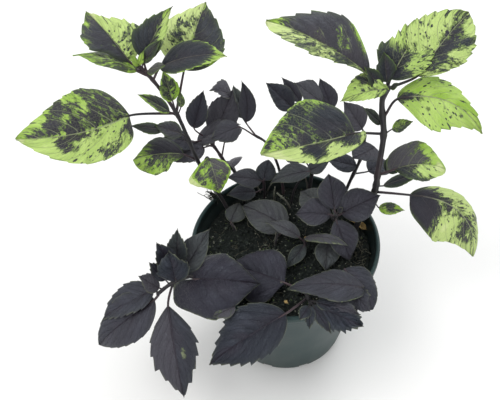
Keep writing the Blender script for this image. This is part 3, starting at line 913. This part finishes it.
darkRightFront = {
    "node": "dark_shoot_right_front", "root": (42, -34), "radius": 1.3,
    "stem": [(48, -40, 119), (54, -46, 124)],
    "leaves": [
        leafOf((54, -46, 123), (57, -55, 127), (1, -56, 127), 28, roll=20, arch=5, fold=-4, heel=0.4, belly=0.66,
            pucker=0.022, wave=0.05, toothDepth=0.02, rimTone=-3.5, rim=0.8, bloom=0.42, hue=0.3),
        leafOf((52, -44, 122), (44, -38, 127), (65, -65, 113), 29, arch=3, fold=-6, point=0.6, pucker=0.03,
            wave=0.05, toothDepth=0.015, bloom=0.3, hue=0.35),
        leafOf((54, -46, 122), (47, -52, 122), (62, -67, 113), 17, roll=14, arch=3, fold=-14, point=0.8,
            pucker=0.04, wave=0.12, toothDepth=0.07, bloom=0.5, hue=0.3),
    ]}
shoots = [variegatedLeft, variegatedRight, darkBackLeft, darkBackMiddle, darkBackRight, darkFarRight, lowBack,
          lowBackRight, darkCentre, lowMiddle, lowLeft, seedlingLeft, darkFrontLeft, darkFront, darkRightFront]


pot = {
    "height": 115, "footRadius": 50, "rimRadius": 75, "wall": 1.9, "floor": 2.2, "sides": 144, "corner": 1.0,
    "sharpAt": 40, "band": 15, "lip": 7, "setIn": 5.6,
    "slots": 10, "slotWidth": 8, "slotHeight": 3.4, "slotFrom": -7, "slotTo": 5,
}


# Each corner of an outline is rounded by a short quadratic curve that starts up to size before it.
def roundedOutline(corners, size, steps=5):
    p = np.array(corners, float)
    made = [p[:1]]
    s = np.linspace(0, 1, steps)[:, None]
    for before, corner, after in zip(p[:-2], p[1:-1], p[2:]):
        back, on = before - corner, after - corner
        reach = min(size, 0.45 * np.linalg.norm(back), 0.45 * np.linalg.norm(on))
        a, b = corner + unit(back) * reach, corner + unit(on) * reach
        made.append((1 - s) ** 2 * a + 2 * s * (1 - s) * corner + s**2 * b)
    return np.concatenate(made + [p[-1:]])


# An outline of (radius, height) turned about Z; its first and last points lie on the axis and are poles.
def turnedShell(outline, sides):
    ring, rise = outline[1:-1, 0], outline[1:-1, 1]
    angle = np.linspace(0, 2 * np.pi, sides, endpoint=False)
    x, y = ring[:, None] * np.cos(angle), ring[:, None] * np.sin(angle)
    points = np.stack([x, y, np.broadcast_to(rise[:, None], x.shape)], -1).reshape(-1, 3)
    points = np.concatenate([points, [[0, 0, outline[0, 1]], [0, 0, outline[-1, 1]]]])
    return {"points": points, "faces": ringFaces(len(ring), sides)}


# The pot: its walled outline turned about Z, less a box at each drain slot round the foot
# (slot i at the angle (i + 0.5) 360 / slots).
def addPot(material):
    high, foot, rim, wall, floor = pot["height"], pot["footRadius"], pot["rimRadius"], pot["wall"], pot["floor"]
    bandFoot, lipFoot, wallTop = high - pot["band"], high - pot["lip"], rim - pot["setIn"]
    corners = [  # up the outside, over the rim, down the inside
        (0, 0), (foot - 1, 0), (foot, 1.2), (wallTop, bandFoot), (wallTop + 1.9, bandFoot + 0.8),
        (wallTop + 3.1, lipFoot - 0.4), (rim - 0.6, lipFoot + 0.6), (rim, lipFoot + 2.2), (rim, high - 1.4),
        (rim - 0.9, high - 0.2), (rim - 2.2, high), (rim - 3.3, high - 1), (rim - 3.7, lipFoot),
        (wallTop - wall, bandFoot), (foot - wall, floor + 1.5), (foot - 3.4, floor), (0, floor),
    ]
    shell = turnedShell(roundedOutline(corners, pot["corner"]), pot["sides"])
    piece = makePiece("plasticPot", [shell], [material], "pot_plastic", ["pot"], pot["sharpAt"])
    turn = ((np.arange(pot["slots"]) + 0.5) * 2 * math.pi / pot["slots"] - math.pi / 2)[:, None]
    wide, tall = pot["slotWidth"] / 2, pot["slotHeight"]
    box = np.meshgrid([foot + pot["slotFrom"], foot + pot["slotTo"]], [-wide, wide], [-tall, tall], indexing="ij")
    x, y, z = [side.ravel() for side in box]
    points = np.stack([x * np.cos(turn) - y * np.sin(turn), x * np.sin(turn) + y * np.cos(turn), z + 0 * turn], -1)
    sides = np.array([(0, 1, 3, 2), (4, 6, 7, 5), (0, 4, 5, 1), (2, 3, 7, 6), (0, 2, 6, 4), (1, 5, 7, 3)])
    sides = sides + np.arange(pot["slots"])[:, None, None] * 8
    cutter = addMesh("slotCutter", points.reshape(-1, 3) * mm, sides.reshape(-1, 4).tolist())
    cut = piece.modifiers.new("drainSlots", "BOOLEAN")
    cut.operation, cut.solver, cut.object = "DIFFERENCE", "EXACT", cutter
    bpy.context.view_layer.update()
    made = bpy.data.meshes.new_from_object(piece.evaluated_get(bpy.context.evaluated_depsgraph_get()))
    piece.modifiers.clear()
    piece.data = made
    made.shade_smooth()
    made.set_sharp_from_angle(angle=math.radians(pot["sharpAt"]))
    bpy.data.objects.remove(cutter)


soil = {
    "level": 103, "lump": 1.1, "radius": 67.3, "rings": 110, "sectors": 300, "footZ": 4.6, "footRadius": 45.8,
    "settled": 1.4, "sink": 2.2, "sinkFrom": 52, "sinkOver": 16,
    "crumbs": ((4.5, 2.6, 2), (2.0, 2.4, 2), (0.9, 1.0, 1)),  # cell, height and power of each size
}


# Smooth noise from 0 to 1: random values on a lattice of the given cell, eased between its corners.
def lumpy(x, y, cell, seed, size=97, shift=400):
    table = np.random.default_rng(seed).random((size, size))
    gx, gy = x / cell + shift, y / cell + shift
    ix, iy = np.floor(gx).astype(int), np.floor(gy).astype(int)
    fx, fy = gx - ix, gy - iy
    fx, fy = fx * fx * (3 - 2 * fx), fy * fy * (3 - 2 * fy)
    at = lambda a, b: table[a % size, b % size]
    low = at(ix, iy) * (1 - fx) + at(ix + 1, iy) * fx
    high = at(ix, iy + 1) * (1 - fx) + at(ix + 1, iy + 1) * fx
    return low * (1 - fy) + high * fy


# The soil's height: broad lumps, then crumbs of three sizes, sinking a little at the wall.
def soilHeight(x, y):
    broad = np.sin(0.21 * x + 0.6) * np.cos(0.17 * y) + 0.5 * np.sin(0.4 * (x + y))
    crumbs = sum(height * lumpy(x, y, cell, seed) ** power
                 for seed, (cell, height, power) in enumerate(soil["crumbs"], 1))
    wall = soil["sink"] * np.clip((np.hypot(x, y) - soil["sinkFrom"]) / soil["sinkOver"], 0, 1) ** 2
    return soil["level"] + soil["lump"] * broad + crumbs - soil["settled"] - wall


# Lumps scattered on the soil: each a squashed, dented twenty-sided ball, all in one mesh.
def scatterShell(places, sizes, seed, flat):
    dice = np.random.default_rng(seed)
    g = (1 + 5**0.5) / 2
    ball = unit(np.array([(-1, g, 0), (1, g, 0), (-1, -g, 0), (1, -g, 0), (0, -1, g), (0, 1, g), (0, -1, -g),
                          (0, 1, -g), (g, 0, -1), (g, 0, 1), (-g, 0, -1), (-g, 0, 1)], float))
    faces = np.array([(0, 11, 5), (0, 5, 1), (0, 1, 7), (0, 7, 10), (0, 10, 11), (1, 5, 9), (5, 11, 4), (11, 10, 2),
                      (10, 7, 6), (7, 1, 8), (3, 9, 4), (3, 4, 2), (3, 2, 6), (3, 6, 8), (3, 8, 9), (4, 9, 5),
                      (2, 4, 11), (6, 2, 10), (8, 6, 7), (9, 8, 1)])
    count = len(places)
    dents = dice.uniform(0.65, 1.2, (count, 12, 1))
    stretch = dice.uniform(0.6, 1.3, (count, 1, 3)) * np.array([1, 1, flat])
    turn = dice.uniform(0, 2 * np.pi, count)
    local = ball[None] * dents * stretch * sizes[:, None, None]
    c, s = np.cos(turn)[:, None], np.sin(turn)[:, None]
    x, y = local[..., 0] * c - local[..., 1] * s, local[..., 0] * s + local[..., 1] * c
    points = np.stack([x, y, local[..., 2]], -1) + places[:, None]
    faces = (faces[None] + (np.arange(count) * 12)[:, None, None]).reshape(-1, 3)
    return {"points": points.reshape(-1, 3), "faces": [faces]}


# Places spread evenly over a disc (radius = reach times the root of a random number, angle random) on the soil.
def onSoil(count, seed, reach=65):
    dice = np.random.default_rng(seed)
    r, a = reach * np.sqrt(dice.random(count)), dice.uniform(0, 2 * np.pi, count)
    x, y = r * np.cos(a), r * np.sin(a)
    return np.stack([x, y, soilHeight(x, y)], -1)


# Loose matter, in millimetres. Scattered lumps: size is (least, more, power) for least + more random^power, and
# moss keeps to clumps about so wide. Threads: how many, how far out, how long and how thick. Tangles of root and
# fibre have a spread along x, y and z, and lie on the soil where no height is given. Then bare seedling stalks
# (path, radius) and withered leaves.
loose = {
    "lumps": {
        "soilCrumbs": dict(finish="soilCrumb", count=3000, seed=11, size=(0.3, 1.7, 3), lift=0, flat=0.7),
        "paleGrit": dict(finish="paleGrit", count=340, seed=21, size=(0.16, 0.6, 2), lift=0.3, flat=0.9),
        "mossSpecks": dict(finish="moss", count=900, seed=31, size=(0.25, 0.5, 1), lift=0.35, flat=0.9,
                           clump=7),
    },
    "threads": {"count": 46, "seed": 41, "reach": 60, "furthest": 64, "length": (5, 15), "radius": (0.12, 0.26)},
    "tangles": [
        {"place": (-57, 46, 114.2), "spread": (2.4, 2.0, 0.7), "reach": (2.4, 2.0, 1.5), "lean": (-7, 3.5, 1.0),
         "radius": 0.28, "count": 80, "slot": 1},
        {"place": (-58, 47, 114.5), "spread": (2.0, 1.6, 0.7), "reach": (2.6, 2.2, 1.7), "lean": (-9, 3, 1.5),
         "radius": 0.16, "count": 26, "slot": 0},
        {"place": (-41, 4), "spread": (8, 4, 0.5), "reach": (3.6, 3.6, 0.9), "radius": 0.17, "count": 90, "slot": 0},
        {"place": (-12, 0), "spread": (9, 7, 0.4), "reach": (3.0, 3.0, 0.7), "radius": 0.14, "count": 40, "slot": 0},
        {"place": (57, -4), "spread": (5, 9, 0.6), "reach": (3.2, 3.6, 1.2), "radius": 0.2, "count": 60, "slot": 0},
        {"place": (52, -8), "spread": (7, 12, 1.2), "reach": (3.4, 3.6, 1.8), "radius": 0.3, "count": 60, "slot": 1},
    ],
    "stalks": [
        ([(-9.4, 50.6, 103), (-9.6, 50.4, 112), (-8.8, 50.1, 122)], 0.75),
        ([(-8.5, 2.9, 103), (-8.4, 4.5, 109), (-7.7, 6.5, 116)], 0.6),
        ([(-16.2, 59.9, 103), (-14, 57, 114), (-10.5, 54.5, 124)], 0.55),
        ([(4.5, 41.6, 103), (0.5, 42, 113), (-7.1, 43.3, 122)], 0.85),
        ([(18.9, 62.2, 103), (18, 62, 114), (15.9, 62, 124)], 0.7),
        ([(-21.6, 61.5, 103), (-27, 62, 116), (-36.7, 62.8, 127)], 0.8),
        ([(-40.7, 17.3, 102.5), (-41.5, 18.8, 105.5), (-44.8, 22.7, 108)], 1.2),
    ],
    "withered": [
        dict(base=(52, 27, 113), tip=(64, 23, 108), width=7, fold=-20, curl=0.4, wave=0.2, teeth=4),
        dict(base=(58, 24, 107), tip=(67, 19, 103.5), width=6, fold=20, curl=-0.3, wave=0.2, teeth=4),
        dict(base=(15, 3, 114), tip=(20, 0, 112.5), width=4.5, fold=24, curl=0.5, wave=0.2, teeth=4),
        dict(base=(-1, -56, 111), tip=(2, -58, 110.5), width=2.4, fold=10, wave=0.2, teeth=4),
    ],
}


# The soil's surface: rings of points at radius times (ring / rings)^0.9 raised to soilHeight, closed by a flat foot.
def soilShell():
    rings, sectors, footZ = soil["rings"], soil["sectors"], soil["footZ"]
    r = soil["radius"] * np.linspace(0, 1, rings + 1)[1:, None] ** 0.9
    a = np.linspace(0, 2 * np.pi, sectors, endpoint=False)
    x, y = r * np.cos(a), r * np.sin(a)
    surface = np.stack([x, y, soilHeight(x, y)], -1).reshape(-1, 3)
    foot = np.stack([soil["footRadius"] * np.cos(a), soil["footRadius"] * np.sin(a), np.full(sectors, footZ)], -1)
    points = np.concatenate([surface, foot, [[0, 0, soilHeight(0.0, 0.0)], [0, 0, footZ]]])
    return {"points": points, "faces": ringFaces(rings + 1, sectors, turned=True)}


# Threads that lie on the soil, each a shallow arc (length s along, bend 4 s s across), then the tangles, each
# thread start + step s + bend sin(pi s) with a random start, step and bend.
def threadShells(dice):
    lying, shells = loose["threads"], []
    count = lying["count"]
    places = onSoil(count, lying["seed"], lying["reach"])
    s = np.linspace(-0.5, 0.5, 9)
    for place, turn, long in zip(places, dice.uniform(0, 6.28, count), dice.uniform(*lying["length"], count)):
        bend = dice.uniform(-0.3, 0.3) * long
        x = place[0] + long * s * math.cos(turn) - bend * s**2 * 4 * math.sin(turn)
        y = place[1] + long * s * math.sin(turn) + bend * s**2 * 4 * math.cos(turn)
        keep = min(1.0, lying["furthest"] / max(1, np.hypot(x, y).max()))
        path = np.stack([x * keep, y * keep, soilHeight(x * keep, y * keep) + 0.25], -1)
        shells.append(tubeShell(path, dice.uniform(*lying["radius"]), 5, slot=0))
    s = np.linspace(0, 1, 6)[:, None]
    for tangle in loose["tangles"]:
        x, y, *z = tangle["place"]
        middle = np.array([x, y, *(z or [soilHeight(float(x), float(y)) + 0.4])])
        for _ in range(tangle["count"]):
            start = middle + dice.normal(0, 1, 3) * tangle["spread"]
            step = dice.normal(0, 1, 3) * tangle["reach"] + np.array(tangle.get("lean", (0, 0, 0))) * dice.random()
            bend = dice.normal(0, 0.3, 3) * tangle["reach"]
            path = start + step * s + bend * np.sin(np.pi * s)
            shells.append(tubeShell(path, tangle["radius"], 5, slot=tangle["slot"]))
    return shells


# A bare seedling stalk: a tube along a smooth path, thinning from 1.1 to 0.8 of its radius.
def bareStalk(points, radius):
    path = smoothPath(points, 2)
    return tubeShell(path, radius * (1.1 - 0.3 * np.linspace(0, 1, len(path))), slot=0)


# The soil, then the loose matter on it.
def addSoil(earths):
    makePiece("soilSurface", [soilShell()], [earths["dampSoil"]], "potting_soil", ["soil"], 180)
    dice = np.random.default_rng(5)
    for name, lump in loose["lumps"].items():
        places = onSoil(lump["count"], lump["seed"])
        if "clump" in lump:
            places = places[lumpy(places[:, 0], places[:, 1], lump["clump"], 7) > 0.5]
        least, more, power = lump["size"]
        sizes = least + more * dice.random(len(places)) ** power
        shell = scatterShell(places + [0, 0, lump["lift"]], sizes, lump["seed"] + 1, lump["flat"])
        makePiece(name, [shell], [earths[lump["finish"]]], "potting_soil", sharpAt=180)
    threads = threadShells(dice)
    makePiece("rootThreads", threads, [earths["rootThread"], earths["soilCrumb"]], "potting_soil", sharpAt=180)
    stalks = [bareStalk(*stalk) for stalk in loose["stalks"]]
    makePiece("seedlingStalks", stalks, [earths["paleStalk"]], "potting_soil", sharpAt=60)
    bits = [bladeShell({**usualLeaf, **leaf}, 900 + i)[0] for i, leaf in enumerate(loose["withered"])]
    makePiece("witheredBits", bits, [earths["witheredLeaf"]], "potting_soil", sharpAt=60)


addCamera()
addStudio()
groups = {"veins": veinGroup(), "blotches": blotchGroup()}
stem = stemMaterial()
skins = {name: leafMaterial(name, groups) for name in leafLooks}
print("materials made")

addPot(potMaterial())
addSoil({name: earthMaterial(name, *look) for name, look in earthLooks.items()})
for number, shoot in enumerate(shoots, 1):
    kind = "variegated" if shoot["node"].startswith("variegated") else "dark"
    first, *words = shoot["node"].split("_")
    name = first + "".join(word.capitalize() for word in words)
    makePiece(name, shootShells(shoot, number), [skins[kind + "Leaf"], stem], kind + "_leaf", [shoot["node"]])

print("sizes written")
